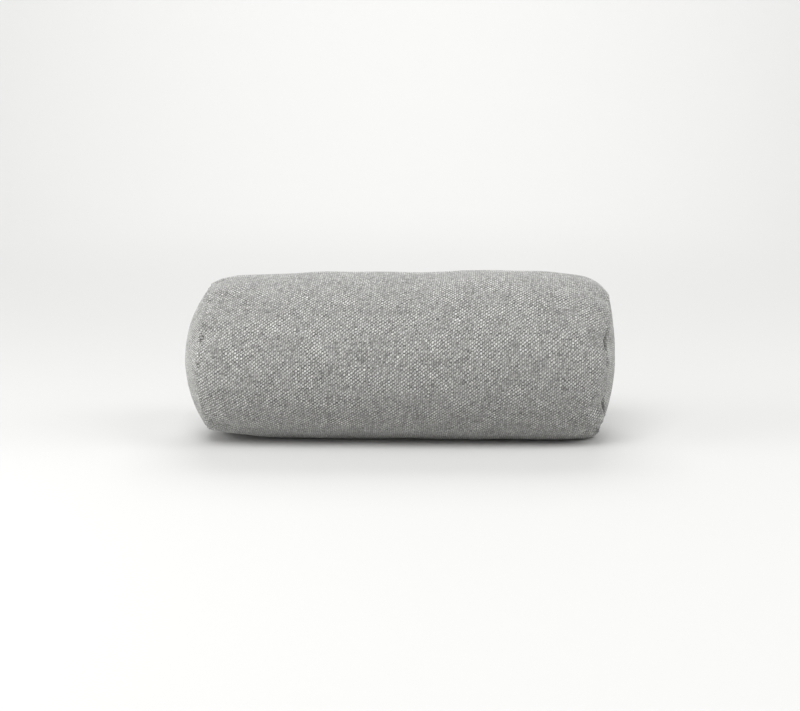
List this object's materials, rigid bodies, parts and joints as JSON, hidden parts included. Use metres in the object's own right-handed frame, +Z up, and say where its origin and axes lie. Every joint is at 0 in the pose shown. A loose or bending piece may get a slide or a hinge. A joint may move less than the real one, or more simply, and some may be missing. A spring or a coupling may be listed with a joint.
{
  "type": "bolster cushion",
  "caption": "Stuffed cylindrical bolster cushion in grey woven wool, with a domed round panel sewn over each end, lying on its side to support the neck or back.",
  "frame": {"origin": "on the surface the cushion lies on, under the middle of its length and width", "axes": "+X along the roll to the right end as seen from the front, -Y to the front, +Z up"},
  "size_m": [0.5, 0.2034, 0.1951],
  "materials": {
    "wool_cloth": "mottled grey wool yarn in a coarse plain weave, matt with a soft nap"
  },
  "bodies": {
    "root": {"filled_roll": "wool_cloth", "end_panel_left": "wool_cloth", "end_panel_right": "wool_cloth"}
  },
  "joints": []
}
